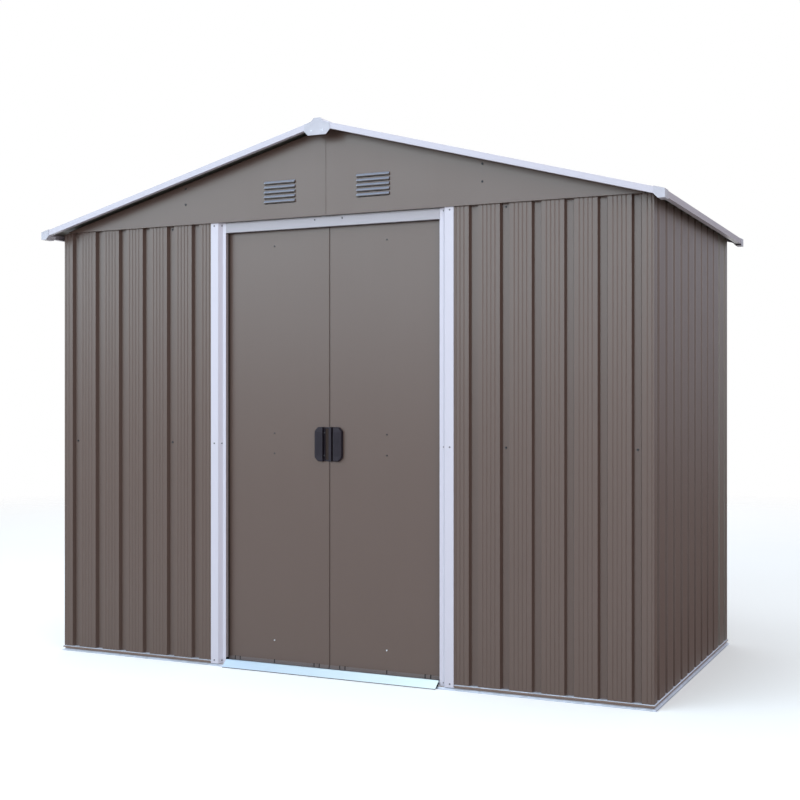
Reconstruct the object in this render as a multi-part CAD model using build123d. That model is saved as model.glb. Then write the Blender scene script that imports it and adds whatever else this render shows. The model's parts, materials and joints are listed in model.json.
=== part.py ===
from build123d import *
import os
from math import cos, radians, sin, tan

# Metal storage shed with a gabled roof and two sliding doors, in millimetres.
# X runs along the front from left to right, Y runs back, Z up from the ground.
# The origin is the middle of the footprint. "Depth" is measured inward from the
# outer face of a wall, so a negative depth stands proud of the wall.

# Sheet thicknesses
sheet = 0.8
rail_sheet = 1.0
beam_sheet = 1.2
trim_sheet = 1.0

# How far a cut runs past what it cuts
cut_past = 1.0

# Ribbed wall sheet: wide lands, valleys pressed inward and fine V grooves
rib_pitch = 112.35
front_ribs = 20
side_ribs = 10
corner_to_rib = 56.5
valley_depth = 14.0
valley_floor = 22.5
valley_slope = 5.5
land_grooves = 4
groove_spacing = 14.5
groove_width = 4.0
groove_depth = 1.2
seam_lap = 9.0
panel_ribs = 4

# Heights
rail_height = 19.0
wall_top = 1650.0
mid_rail_height = 831.0
mid_rail_width = 50.0
mid_rail_depth = 20.0
mid_rail_gap = 1.0

# Floor rail: toe on the ground, an undercut, a lip below the wall, a ledge
rail_inside = 66.0
rail_return = 12.0
toe_reach = 10.0
toe_flat = 4.0
undercut_low = 7.0
undercut_high = 10.5
undercut_depth = 2.0
lip_reach = 4.0
lip_low = 12.5
lip_high = 16.0
ledge_edge = 1.0

# Doorway
doorway_half = 433.0
jamb_flange_outer = 490.2
jamb_flange_inner = 458.6
jamb_step_inner = 446.8
jamb_proud = 2.5
jamb_recess = 11.0
jamb_return_depth = 29.5
jamb_foot = 8.0
jamb_return_foot = 31.0
header_recess = 10.0
header_height = 37.0
header_head_gap = 2.0
header_lip = 18.0
header_gap = 0.6
ramp_half = 430.0
ramp_rise = 25.6
ramp_top_depth = 10.0
ramp_toe_reach = 21.5
ramp_toe_lip = 2.8
ramp_back_gap = 3.0
ramp_seat = 14.0

# Doors
meeting_line = -9.0
leaf_width = 458.0
leaf_gap = 2.5
leaf_front = 36.0
leaf_flange = 14.0
leaf_hem = 6.0
leaf_foot = 27.0
leaf_over_ledge = 10.0
brace_width = 86.0
brace_depth = 13.0
brace_web = 50.0
brace_slope = 2.0
runner_inset = 61.5
shoe_width = 25.0
shoe_height = 40.0
shoe_side_gap = 0.6
shoe_tongue = 2.4
shoe_tongue_top = 36.0
shoe_tongue_recess = 0.2
shoe_underside = 21.5
hanger_inset = 90.0
hanger_width = 40.0
hanger_drop = 20.0
hanger_foot_gap = 1.5
hanger_head = 7.0
runner_leg = 4.5
run_gap = 0.5
ride_gap = 0.3
travel_gap = 6.0
seat_gap = 0.05

# Door handles
handle_reach = 55.0
handle_height = 124.0
handle_plate = 2.5
handle_wall = 2.5
handle_proud = 15.0
handle_lip = 21.6
handle_corner = 14.0
handle_round = 7.0
handle_corner_round = 4.0
handle_end = 5.5

# Door tracks
top_rail_inside = 78.0
top_rail_height = 34.0
track_rib_depth = 58.0
track_drop = 24.0
track_rib = 7.0
track_flange = 20.0
floor_rib_depth = 55.5
floor_rib_height = 14.0
floor_track_half = 850.0
floor_track_foot = 10.0

# Other top rails
back_rail_inside = 56.0
back_rail_height = 40.0
side_rail_inside = 44.0
side_rail_height = 50.0
rail_end_gap = 4.4

# Roof
roof_angle = 15.0
eave_drop = 4.6
roof_overhang = 75.0
eave_overhang = 50.0
roof_rise_gap = 0.3
rake_height = 20.7
rake_flange = 18.0
eave_height = 21.4
eave_flange = 18.0
ridge_cut = 6.5
cap_half = 52.0
crown_half = 12.0
crown_foot = 24.0
crown_rise = 5.5
plate_sheet = 1.5

# Gables
gable_proud = 10.0
gable_foot_flange = 30.0
gable_top_flange = 15.0
gable_end = 1150.0
vent_near = 124.6
vent_width = 128.0
vent_first = 56.4
vent_pitch = 17.3
vent_count = 5
vent_height = 7.5
vent_reach = 6.0
vent_lip = 1.0
vent_slot = 2.2
vent_root = 0.2
beam_notch_gap = 1.0

# Roof beams
purlin_place = 598.0
purlin_height = 90.0
purlin_width = 40.0
ridge_beam_half = 32.0
ridge_beam_height = 60.0

# Ridge end plates and corner caps
plate_foot_half = 36.0
plate_foot_drop = 54.0
plate_side_half = 53.0
plate_side_drop = 36.0
plate_shoulder_half = 50.0
plate_shoulder_drop = 15.0
corner_cap_width = 36.0
corner_cap_length = 47.0
corner_cap_wall = 1.5
corner_cap_gap = 0.3
corner_cap_drop = 4.7
corner_cap_knee = 1.0
corner_cap_open = 5.0

# Sizes worked out from the ones above
width = front_ribs * rib_pitch + 2 * corner_to_rib
depth = side_ribs * rib_pitch + 2 * corner_to_rib
front = -depth / 2
lap_depth = valley_depth + 2 * sheet
slope = tan(radians(roof_angle))
along_x = cos(radians(roof_angle))
along_z = sin(radians(roof_angle))
sheet_stack = (trim_sheet + valley_depth + sheet) / along_x
roof_under = wall_top - eave_drop + slope * width / 2
roof_peak = roof_under + sheet_stack
roof_half = width / 2 + eave_overhang
roof_end = depth / 2 + roof_overhang
gable_plane = front - gable_proud
header_foot = wall_top - header_height
top_rail_foot = wall_top - top_rail_height
track_ledge = wall_top - track_drop
leaf_top = track_ledge + leaf_over_ledge
brace_heights = [leaf_foot + brace_width / 2, mid_rail_height, leaf_top - brace_width / 2]
brace_back = leaf_front + sheet + seat_gap + brace_depth

walls = {
    "front": (Vector(0, -depth / 2), Vector(1, 0), Vector(0, 1), front_ribs),
    "right": (Vector(width / 2, 0), Vector(0, 1), Vector(-1, 0), side_ribs),
    "back": (Vector(0, depth / 2), Vector(-1, 0), Vector(0, -1), front_ribs),
    "left": (Vector(-width / 2, 0), Vector(0, -1), Vector(1, 0), side_ribs),
}


def roof_top(x):
    """Height of the roof's top skin at a distance x from the ridge."""
    return roof_peak - slope * abs(x)


def roof_underside(x):
    """Height of the lowest face of the ribbed roof sheet at x from the ridge."""
    return roof_under - slope * abs(x)


def folded(points, gauge, side=Side.LEFT):
    """Face of a folded sheet: a line of bends, and the same line one gauge aside."""
    turn = gauge if side == Side.LEFT else -gauge
    spots = [Vector(*point) for point in points]
    runs = [(after - before).normalized() for before, after in zip(spots, spots[1:])]
    normals = [Vector(-run.Y, run.X) for run in runs]
    normals = [normals[0]] + normals + [normals[-1]]
    far_side = []
    for spot, first, second in zip(spots, normals, normals[1:]):
        bisector = (first + second).normalized()
        far_side.append(spot + bisector * (turn / bisector.dot(first)))
    return make_face(Polyline(*spots, *reversed(far_side), close=True))


def valley_place(wall, number):
    """Distance of a valley's middle from the middle of its wall."""
    ribs = walls[wall][3]
    return (number - ribs / 2) * rib_pitch


def ribbed_line(start, end, valleys, under_start=False, under_end=False):
    """Points (distance, depth) of the outer face of ribbed sheet.

    A run that starts or ends in a valley's floor laps over or under its
    neighbour there; any other end is in the land beside the last valley.
    A land has the grooves that fit between the ends of the run."""
    floor = valley_floor / 2
    rim = floor + valley_slope
    points = []
    for place in valleys:
        level_in = valley_depth + (sheet if under_end and place == valleys[-1] else 0)
        level_out = valley_depth + (sheet if under_start and place == valleys[0] else 0)
        level = max(level_in, level_out)
        points += [(place - rim, 0), (place - floor, level), (place + floor, level), (place + rim, 0)]
    lands = [place + rib_pitch / 2 for place in valleys] + [valleys[0] - rib_pitch / 2]
    for land in lands:
        for number in range(land_grooves):
            groove = land + (number - (land_grooves - 1) / 2) * groove_spacing
            half = groove_width / 2
            if start < groove - half and groove + half < end:
                points += [(groove - half, 0), (groove, groove_depth), (groove + half, 0)]
    points.sort()
    first_level = level_at(points, start)
    last_level = level_at(points, end)
    inner = [point for point in points if start < point[0] < end]
    return [(start, first_level)] + inner + [(end, last_level)]


def level_at(points, place):
    """Depth of the ribbed line at one place, level beyond its ends."""
    before = [point for point in points if point[0] <= place]
    after = [point for point in points if point[0] > place]
    if not before or not after:
        return 0
    low, high = before[-1], after[0]
    share = (place - low[0]) / (high[0] - low[0])
    return low[1] + share * (high[1] - low[1])


def on_wall(wall, points):
    """Plan points in the shed's frame for points (distance, depth) on a wall."""
    middle, run, inward, _ = walls[wall]
    spots = [middle + run * along + inward * deep for along, deep in points]
    return [(spot.X, spot.Y) for spot in spots]


def wall_sheet(plan_points):
    """Upright ribbed sheet from the rail's ledge to the wall's top."""
    face = folded(plan_points, sheet)
    panel = extrude(Pos(0, 0, rail_height) * face, amount=wall_top - rail_height)
    return panel - above_roof()


def above_roof():
    """Everything over the roof sheet's underside, to trim what meets it."""
    low_peak = roof_under - roof_rise_gap
    low_eave = low_peak - slope * roof_half
    outline = Polyline((-roof_half, low_eave), (0, low_peak), (roof_half, low_eave),
                       (roof_half, roof_peak), (-roof_half, roof_peak), close=True)
    face = Plane.XZ * make_face(outline)
    return extrude(face, amount=roof_end, both=True)


def panel_between(wall, first, last, under_first, under_last):
    """Wall panel from one valley's floor to another's."""
    places = [valley_place(wall, number) for number in range(first, last + 1)]
    line = ribbed_line(places[0] - seam_lap, places[-1] + seam_lap, places, under_first, under_last)
    return wall_sheet(on_wall(wall, line))


def corner_panel(wall, next_wall, ribs_before, ribs_after):
    """Panel folded round the corner between two walls, over both neighbours."""
    before_half = (width if wall in ("front", "back") else depth) / 2
    after_half = (width if next_wall in ("front", "back") else depth) / 2
    last = walls[wall][3]
    before = [valley_place(wall, last - ribs_before + 1 + n) for n in range(ribs_before)]
    after = [valley_place(next_wall, n) for n in range(ribs_after)]
    line_in = ribbed_line(before[0] - seam_lap, before_half, before)
    line_out = ribbed_line(-after_half, after[-1] + seam_lap, after)
    return wall_sheet(on_wall(wall, line_in) + on_wall(next_wall, line_out)[1:])


def across(points, gauge, half_length, side=Side.RIGHT):
    """Front rail, track or ramp: a section (depth, height) run along X."""
    face = Plane.YZ * folded([(front + deep, high) for deep, high in points], gauge, side)
    return extrude(face, amount=half_length, both=True)


def build_walls():
    panels = {}
    corners = {
        "corner_panel_front_right": ("front", "right", 1, 2),
        "corner_panel_back_right": ("right", "back", 2, 1),
        "corner_panel_back_left": ("back", "left", 1, 2),
        "corner_panel_front_left": ("left", "front", 2, 1),
    }
    for name, corner in corners.items():
        panels[name] = corner_panel(*corner)
    panels["front_panel_left"] = panel_between("front", 0, panel_ribs, True, False)
    panels["front_panel_right"] = mirror(panels["front_panel_left"], about=Plane.YZ)
    door_side = [n for n in range(panel_ribs, front_ribs // 2) if valley_place("front", n) < -doorway_half]
    panels["door_side_panel_left"] = panel_between("front", door_side[0], door_side[-1], True, False)
    panels["door_side_panel_right"] = mirror(panels["door_side_panel_left"], about=Plane.YZ)
    half_way = side_ribs // 2
    panels["side_panel_right_front"] = panel_between("right", 1, half_way, True, False)
    panels["side_panel_right_back"] = panel_between("right", half_way, side_ribs - 1, True, True)
    panels["side_panel_left_back"] = panel_between("left", 1, half_way, True, False)
    panels["side_panel_left_front"] = panel_between("left", half_way, side_ribs - 1, True, True)
    for number, first in enumerate(range(0, front_ribs, panel_ribs), start=1):
        last = first + panel_ribs
        panels[f"back_panel_{number}"] = panel_between("back", first, last, True, last == front_ribs)
    return panels


def floor_rail_section():
    """Rail section (depth, height) from the toe to the inner return."""
    return [(-toe_reach, rail_sheet), (toe_flat - toe_reach, rail_sheet),
            (undercut_depth, undercut_low), (undercut_depth, undercut_high),
            (-lip_reach, lip_low), (-lip_reach, lip_high), (ledge_edge, rail_height),
            (rail_inside, rail_height), (rail_inside, 0), (rail_inside - rail_return, 0)]


def floor_rail(wall):
    """One side of the floor frame, mitred at both corners."""
    half = (width if wall in ("front", "back") else depth) / 2
    section = folded([(deep, high) for deep, high in floor_rail_section()], rail_sheet, Side.RIGHT)
    rail = extrude(Plane.YZ * section, amount=half + toe_reach, both=True)
    reach = half + toe_reach
    inside = rail_inside + cut_past
    outline = Polyline((-reach, -toe_reach), (reach, -toe_reach),
                       (half - inside, inside), (inside - half, inside), close=True)
    rail &= extrude(make_face(outline), amount=rail_height + cut_past)
    middle, run, _, _ = walls[wall]
    turn = {"front": 0, "right": 90, "back": 180, "left": 270}[wall]
    return Pos(middle.X, middle.Y, 0) * Rot(0, 0, turn) * rail


def build_floor():
    cut_near = -toe_reach - cut_past
    cut_far = ramp_top_depth + ramp_back_gap
    doorway_cut = Pos(0, front + cut_near, jamb_foot) * Box(
        2 * (jamb_flange_outer + cut_past), cut_far - cut_near, rail_height,
        align=(Align.CENTER, Align.MIN, Align.MIN))
    ramp = across([(-ramp_toe_reach, 0), (-ramp_toe_reach, ramp_toe_lip), (ramp_top_depth, ramp_rise),
                   (ramp_top_depth, rail_height + rail_sheet),
                   (ramp_top_depth + ramp_seat, rail_height + rail_sheet)],
                  rail_sheet, ramp_half)
    track = across([(floor_rib_depth - floor_track_foot, rail_height + rail_sheet),
                    (floor_rib_depth, rail_height + rail_sheet),
                    (floor_rib_depth, rail_height + floor_rib_height)],
                   rail_sheet, floor_track_half)
    return {
        "floor_rail_front": floor_rail("front") - doorway_cut,
        "floor_rail_back": floor_rail("back"),
        "floor_rail_sides": Compound(children=[floor_rail("left"), floor_rail("right")]),
        "door_ramp": ramp,
        "floor_track": track,
    }


def build_doorway():
    outline = [(jamb_flange_outer, 0), (jamb_flange_outer, -jamb_proud), (jamb_flange_inner, -jamb_proud),
               (jamb_step_inner, jamb_recess), (doorway_half, jamb_recess),
               (doorway_half, jamb_return_depth)]
    section = folded([(across_x, front + deep) for across_x, deep in outline], sheet, Side.RIGHT)
    jamb = extrude(Pos(0, 0, jamb_foot) * section, amount=wall_top - jamb_foot)
    behind = front + jamb_recess + sheet + jamb_return_depth
    cut_width = 2 * (jamb_flange_outer - doorway_half)
    low_cut = Pos(doorway_half, behind, jamb_foot) * Box(
        cut_width, 2 * jamb_return_depth, jamb_return_foot - jamb_foot,
        align=(Align.CENTER, Align.CENTER, Align.MIN))
    high_cut = Pos(doorway_half, behind, header_foot) * Box(
        cut_width, 2 * jamb_return_depth, 2 * header_height, align=(Align.CENTER, Align.CENTER, Align.MIN))
    jamb = jamb - low_cut - high_cut
    header_head = wall_top - header_head_gap
    header = across([(header_recess + header_lip, header_foot), (header_recess, header_foot),
                     (header_recess, header_head), (lap_depth, header_head)],
                    sheet, doorway_half - header_gap)
    return {"door_jamb_right": jamb, "door_jamb_left": mirror(jamb, about=Plane.YZ), "door_header": header}


def build_top_rails():
    rail_half = width / 2 - lap_depth - rail_end_gap
    front_rail = across([(lap_depth, top_rail_foot), (lap_depth, wall_top),
                         (top_rail_inside, wall_top), (top_rail_inside, top_rail_foot)],
                        beam_sheet, rail_half)
    web = top_rail_inside - beam_sheet
    track = across([(web, track_ledge + track_flange), (web, track_ledge),
                    (track_rib_depth, track_ledge), (track_rib_depth, track_ledge + track_rib)],
                   rail_sheet, rail_half)
    back_foot = wall_top - back_rail_height
    back_rail = across([(back_rail_inside, back_foot), (lap_depth, back_foot),
                        (lap_depth, wall_top), (back_rail_inside, wall_top)],
                       beam_sheet, rail_half)
    outer = width / 2 - lap_depth
    inner = width / 2 - side_rail_inside
    foot = roof_underside(outer) - side_rail_height
    section = folded([(inner, foot), (outer, foot), (outer, roof_underside(outer)),
                      (inner, roof_underside(inner))], beam_sheet, Side.LEFT)
    start = front + top_rail_inside
    stop = depth / 2 - back_rail_inside
    side_rail = extrude(Plane.XZ * section, amount=start - stop)
    side_rail = Pos(0, start, 0) * side_rail
    return {
        "front_top_rail": front_rail,
        "door_track": track,
        "back_top_rail": mirror(back_rail, about=Plane.XZ),
        "side_top_rails": Compound(children=[side_rail, mirror(side_rail, about=Plane.YZ)]),
    }


def build_mid_rails():
    low = mid_rail_height - mid_rail_width / 2
    high = mid_rail_height + mid_rail_width / 2
    inner = lap_depth + mid_rail_depth
    back_half = width / 2 - inner - mid_rail_gap
    section = [(inner, low), (lap_depth, low), (lap_depth, high), (inner, high)]
    back_rail = mirror(across(section, rail_sheet, back_half), about=Plane.XZ)
    side_face = folded([(width / 2 - deep, level) for deep, level in section], rail_sheet, Side.LEFT)
    side_half = depth / 2 - lap_depth - mid_rail_gap
    side_rail = extrude(Plane.XZ * side_face, amount=side_half, both=True)
    rails = [back_rail, side_rail, mirror(side_rail, about=Plane.YZ)]
    return {"wall_mid_rails": Compound(children=rails)}


def slope_run(points, gauge, start, stop, side):
    """Section (y, height above the top skin) run down the right slope."""
    down = Plane(origin=(0, 0, roof_peak), x_dir=(0, 1, 0), z_dir=(along_x, 0, -along_z))
    face = down * Pos(0, 0, start) * folded(points, gauge, side)
    return extrude(face, amount=stop - start)


def build_roof():
    sheet_half = roof_end - trim_sheet - run_gap
    count = int((sheet_half - valley_floor) // rib_pitch)
    places = [(n - count + 0.5) * rib_pitch for n in range(2 * count)]
    line = ribbed_line(-sheet_half, sheet_half, places)
    ribs = [(along, -trim_sheet - deep) for along, deep in line]
    sheet_stop = (roof_half - trim_sheet - run_gap) / along_x
    panel = slope_run(ribs, sheet, ridge_cut, sheet_stop, Side.RIGHT)

    rake_line = [(rake_flange - roof_end, -rake_height), (-roof_end, -rake_height),
                 (-roof_end, 0), (rake_flange - roof_end, 0)]
    rake = slope_run(rake_line, trim_sheet, ridge_cut, (roof_half - run_gap) / along_x, Side.RIGHT)
    rake_front = [rake, mirror(rake, about=Plane.YZ)]
    rake_back = [mirror(piece, about=Plane.XZ) for piece in rake_front]

    eave_near = roof_half - eave_flange
    eave_foot = roof_top(roof_half) - eave_height
    eave_line = [(eave_near, roof_top(eave_near)), (roof_half, roof_top(roof_half)),
                 (roof_half, eave_foot), (eave_near, eave_foot)]
    eave_length = roof_end - rake_flange - run_gap
    eave = extrude(Plane.XZ * folded(eave_line, trim_sheet, Side.RIGHT), amount=eave_length, both=True)

    cap_right = [(crown_half, roof_peak + crown_rise), (crown_foot, roof_top(crown_foot)),
                 (cap_half, roof_top(cap_half))]
    cap_line = [(-along, high) for along, high in reversed(cap_right)] + cap_right
    cap = extrude(Plane.XZ * folded(cap_line, trim_sheet, Side.LEFT), amount=roof_end, both=True)

    return {
        "roof_panel_right": panel,
        "roof_panel_left": mirror(panel, about=Plane.YZ),
        "rake_trim_front": Compound(children=rake_front),
        "rake_trim_back": Compound(children=rake_back),
        "eave_trims": Compound(children=[eave, mirror(eave, about=Plane.YZ)]),
        "ridge_cap": cap,
        "ridge_end_plates": ridge_plates(),
        "roof_corner_caps": corner_caps(),
    }


def ridge_plates():
    """Plate over the joint of the rake trims and the ridge cap's end, front and back."""
    right = [(plate_foot_half, roof_peak - plate_foot_drop), (plate_side_half, roof_peak - plate_side_drop),
             (plate_shoulder_half, roof_peak - plate_shoulder_drop),
             (crown_foot, roof_top(crown_foot) + trim_sheet),
             (crown_half, roof_peak + crown_rise + trim_sheet)]
    left = [(-along, high) for along, high in reversed(right)]
    face = Plane.XZ * make_face(Polyline(*right, *left, close=True))
    plate = Pos(0, -roof_end, 0) * extrude(face, amount=plate_sheet)
    return Compound(children=[plate, mirror(plate, about=Plane.XZ)])


def corner_caps():
    """Moulded cap over each corner where a rake trim meets an eave trim."""
    inner_x = roof_half + corner_cap_gap
    outer_x = inner_x + corner_cap_wall
    near = outer_x - corner_cap_width
    gap, wall = corner_cap_gap, corner_cap_wall
    low_near = roof_top(near) - rake_height / along_x - gap
    low_far = roof_top(roof_half) - eave_height - gap - corner_cap_drop
    knee = roof_half - eave_flange - corner_cap_knee
    open_x = near - corner_cap_open
    shell = [(near, roof_top(near) + gap + wall), (outer_x, roof_top(outer_x) + gap + wall),
             (outer_x, low_far - wall), (knee - wall, low_far - wall), (near, low_near - wall)]
    hollow = [(open_x, roof_top(open_x) + gap), (inner_x, roof_top(inner_x) + gap), (inner_x, low_far),
              (knee, low_far), (near, low_near), (open_x, low_near + corner_cap_open * slope)]
    face = roof_end + gap
    block = extrude(Plane.XZ * make_face(Polyline(*shell, close=True)), amount=corner_cap_length)
    room = extrude(Plane.XZ * make_face(Polyline(*hollow, close=True)), amount=corner_cap_length)
    cap = Pos(0, corner_cap_length - face - wall, 0) * block
    cap -= Pos(0, corner_cap_length - face, 0) * room
    pair = [cap, mirror(cap, about=Plane.YZ)]
    return Compound(children=pair + [mirror(piece, about=Plane.XZ) for piece in pair])


def vent_hoods(hollow):
    """Row of pressed louvres, as outer forms or as the hollows under them."""
    hoods = []
    for number in range(vent_count):
        foot = wall_top + vent_first + number * vent_pitch
        if hollow:
            line = [(sheet - vent_reach, foot - vent_slot), (sheet - vent_reach, foot + vent_lip),
                    (sheet + cut_past, foot + vent_height - sheet), (sheet + cut_past, foot - vent_slot)]
            run = vent_width - 2 * sheet
        else:
            line = [(-vent_reach, foot), (-vent_reach, foot + vent_lip),
                    (0, foot + vent_height), (vent_root, foot)]
            run = vent_width
        plan = [(gable_plane + deep, high) for deep, high in line]
        face = Plane.YZ * make_face(Polyline(*plan, close=True))
        near = vent_near + (vent_width - run) / 2
        hoods.append(Pos(near, 0, 0) * extrude(face, amount=run))
    return hoods


def gable_half():
    """Right half of a gable: flat sheet, flanges and louvres."""
    outline = Polyline((0, wall_top), (gable_end, wall_top),
                       (gable_end, roof_underside(gable_end)), (0, roof_under), close=True)
    panel = Pos(0, gable_plane + sheet, 0) * extrude(Plane.XZ * make_face(outline), amount=sheet)
    foot = Pos(gable_end / 2, gable_plane, wall_top) * Box(
        gable_end, gable_foot_flange, sheet, align=(Align.CENTER, Align.MIN, Align.MIN))
    head_line = [(0, roof_under), (gable_end, roof_underside(gable_end))]
    head_face = folded(head_line, sheet, Side.RIGHT)
    head = Pos(0, gable_plane + gable_top_flange, 0) * extrude(Plane.XZ * head_face, amount=gable_top_flange)
    for middle, half_width in [(0, ridge_beam_half), (purlin_place, purlin_width / 2)]:
        notch = Pos(middle, gable_plane + sheet, 0) * Box(
            2 * (half_width + beam_notch_gap), 2 * gable_top_flange, 3 * roof_peak,
            align=(Align.CENTER, Align.MIN, Align.CENTER))
        head -= notch
    half = panel + foot + head
    for hood in vent_hoods(hollow=False):
        half += hood
    for room in vent_hoods(hollow=True):
        half -= room
    return half & Pos(0, 0, roof_peak / 2) * Box(4 * width, 4 * depth, 2 * roof_peak,
                                                 align=(Align.MIN, Align.CENTER, Align.CENTER))


def build_gables():
    right = gable_half()
    left = mirror(right, about=Plane.YZ)
    return {
        "gable_front_right": right,
        "gable_front_left": left,
        "gable_back_right": mirror(right, about=Plane.XZ),
        "gable_back_left": mirror(left, about=Plane.XZ),
    }


def build_beams():
    reach = -gable_plane - sheet
    near = purlin_place - purlin_width / 2
    far = purlin_place + purlin_width / 2
    foot = roof_underside(purlin_place) - purlin_height
    purlin_line = [(far, foot), (near, foot), (near, roof_underside(near)), (far, roof_underside(far))]
    purlin = extrude(Plane.XZ * folded(purlin_line, beam_sheet, Side.RIGHT), amount=reach, both=True)
    half = ridge_beam_half
    low = roof_underside(half) - ridge_beam_height
    ridge_line = [(-half, low), (-half, roof_underside(half)), (0, roof_under),
                  (half, roof_underside(half)), (half, low)]
    ridge = extrude(Plane.XZ * folded(ridge_line, beam_sheet, Side.RIGHT), amount=reach, both=True)
    return {"ridge_beam": ridge, "roof_purlins": Compound(children=[purlin, mirror(purlin, about=Plane.YZ)])}


def shoe_places():
    """Middles of the two floor shoes, measured from the meeting line."""
    return [runner_inset, leaf_width - runner_inset]


def hanger_places():
    return [hanger_inset, leaf_width - hanger_inset]


def tongue_places():
    """Middles of the tongues at both sides of each shoe."""
    reach = (shoe_width - shoe_tongue) / 2
    return [place + side * reach for place in shoe_places() for side in (-1, 1)]


def foot_notch(middle, body_width, body_top):
    """Cut in the foot of the leaf or of its lowest brace, round a part of the shoe."""
    low = leaf_foot - cut_past
    return Pos(middle, front + leaf_front - cut_past, low) * Box(
        body_width + 2 * shoe_side_gap, brace_depth, body_top + shoe_side_gap - low,
        align=(Align.CENTER, Align.MIN, Align.MIN))


def door_leaf():
    """Right leaf: a flat sheet with both upright edges folded back."""
    back = leaf_front + leaf_flange
    plan = [(leaf_gap + leaf_hem, back), (leaf_gap, back), (leaf_gap, leaf_front),
            (leaf_width, leaf_front), (leaf_width, back), (leaf_width - leaf_hem, back)]
    section = folded([(along, front + deep) for along, deep in plan], sheet, Side.LEFT)
    leaf = extrude(Pos(0, 0, leaf_foot) * section, amount=leaf_top - leaf_foot)
    for middle in tongue_places():
        leaf -= foot_notch(middle, shoe_tongue, shoe_tongue_top)
    return leaf


def door_braces():
    """Three hat-section braces across the inside of the leaf."""
    near = leaf_gap + leaf_flange
    far = leaf_width - leaf_flange
    braces = []
    for height in brace_heights:
        flange, web = brace_width / 2, brace_web / 2
        face_in = leaf_front + sheet + seat_gap + rail_sheet
        line = [(face_in, height - flange), (face_in, height - web - brace_slope),
                (brace_back, height - web), (brace_back, height + web),
                (face_in, height + web + brace_slope), (face_in, height + flange)]
        section = folded([(front + deep, high) for deep, high in line], rail_sheet, Side.LEFT)
        braces.append(Pos(near, 0, 0) * extrude(Plane.YZ * section, amount=far - near))
    for place in shoe_places():
        braces[0] -= foot_notch(place, shoe_width, shoe_height)
    return Compound(children=braces)


def door_runners():
    """Two shoes on the floor track and two hangers on the door track."""
    pieces = []
    slot_near = front + floor_rib_depth - run_gap
    slot_far = front + floor_rib_depth + rail_sheet + run_gap
    rib_top = rail_height + floor_rib_height + run_gap
    shoe_near = front + leaf_front + sheet + seat_gap
    tongue_near = front + leaf_front + shoe_tongue_recess
    corner = (Align.CENTER, Align.MIN, Align.MIN)
    for place in shoe_places():
        shoe = Pos(place, shoe_near, shoe_underside) * Box(
            shoe_width, slot_far + runner_leg - shoe_near, shoe_height - shoe_underside, align=corner)
        for middle in tongue_places():
            if abs(middle - place) < shoe_width:
                shoe += Pos(middle, tongue_near, shoe_underside) * Box(
                    shoe_tongue, shoe_near + cut_past - tongue_near,
                    shoe_tongue_top - shoe_underside, align=corner)
        slot = Pos(place, slot_near, 0) * Box(2 * shoe_width, slot_far - slot_near, rib_top, align=corner)
        pieces.append(shoe - slot)
    rib = front + track_rib_depth
    rib_high = track_ledge + track_rib + ride_gap
    leg_far = rib + rail_sheet + run_gap
    foot = brace_heights[-1] - hanger_drop
    leg_foot = track_ledge + rail_sheet + hanger_foot_gap
    head = rib_high + hanger_head
    outline = [(front + brace_back, foot), (rib - run_gap, foot), (rib - run_gap, rib_high),
               (leg_far, rib_high), (leg_far, leg_foot), (leg_far + runner_leg, leg_foot),
               (leg_far + runner_leg, head), (front + brace_back, head)]
    face = Plane.YZ * make_face(Polyline(*outline, close=True))
    for place in hanger_places():
        pieces.append(Pos(place, 0, 0) * extrude(face, amount=hanger_width / 2, both=True))
    return Compound(children=pieces)


def door_handle():
    """Pull with a hooked grip that is open towards the meeting line."""
    back = front + leaf_front
    middle = mid_rail_height
    plate = Pos(leaf_gap, back, middle) * Box(
        handle_reach - leaf_gap, handle_plate, handle_height, align=(Align.MIN, Align.MAX, Align.CENTER))
    grip = Pos(handle_lip, back, middle) * Box(
        handle_reach - handle_lip, handle_proud, handle_height, align=(Align.MIN, Align.MAX, Align.CENTER))
    upright = grip.edges().filter_by(Axis.Z).group_by(Axis.Y)[0].sort_by(Axis.X)[-1]
    grip = fillet(upright, radius=handle_round)
    handle = plate + grip
    top = handle_height / 2
    cut_x = handle_reach - handle_corner
    cut_z = top - handle_corner
    outline = Polyline((leaf_gap, -top), (cut_x, -top), (handle_reach, -cut_z),
                       (handle_reach, cut_z), (cut_x, top), (leaf_gap, top), close=True)
    rounded = fillet(make_face(outline).vertices().group_by(Axis.X)[1:], radius=handle_corner_round)
    handle &= Pos(0, front, middle) * extrude(Plane.XZ * rounded, amount=-2 * leaf_front, both=True)
    room_near = handle_lip - cut_past
    room = Pos(room_near, back - handle_plate, middle) * Box(
        handle_reach - handle_end - room_near, handle_proud - handle_plate - handle_wall,
        handle_height - 2 * handle_corner, align=(Align.MIN, Align.MAX, Align.CENTER))
    return handle - room


def build_doors():
    pieces = {
        "door_leaf": door_leaf(),
        "door_braces": door_braces(),
        "door_runners": door_runners(),
        "door_handle": door_handle(),
    }
    doors = {}
    for name, piece in pieces.items():
        doors[name + "_right"] = Pos(meeting_line, 0, 0) * piece
        doors[name + "_left"] = Pos(meeting_line, 0, 0) * mirror(piece, about=Plane.YZ)
    return doors


def main():
    parts = {}
    for section in (build_floor(), build_walls(), build_doorway(), build_top_rails(), build_mid_rails(),
                    build_gables(), build_beams(), build_roof(), build_doors()):
        parts.update(section)
    os.makedirs("parts", exist_ok=True)
    for name, piece in parts.items():
        export_step(piece, f"parts/{name}.step")
    left_reach = meeting_line - handle_reach + doorway_half - travel_gap
    right_reach = doorway_half - travel_gap - meeting_line - handle_reach
    print(f"{len(parts)} nodes; door travel left {left_reach:.1f}, right {right_reach:.1f}")


main()
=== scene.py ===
import json
import math

import bmesh
import bpy
from mathutils import Matrix, Vector


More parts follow.
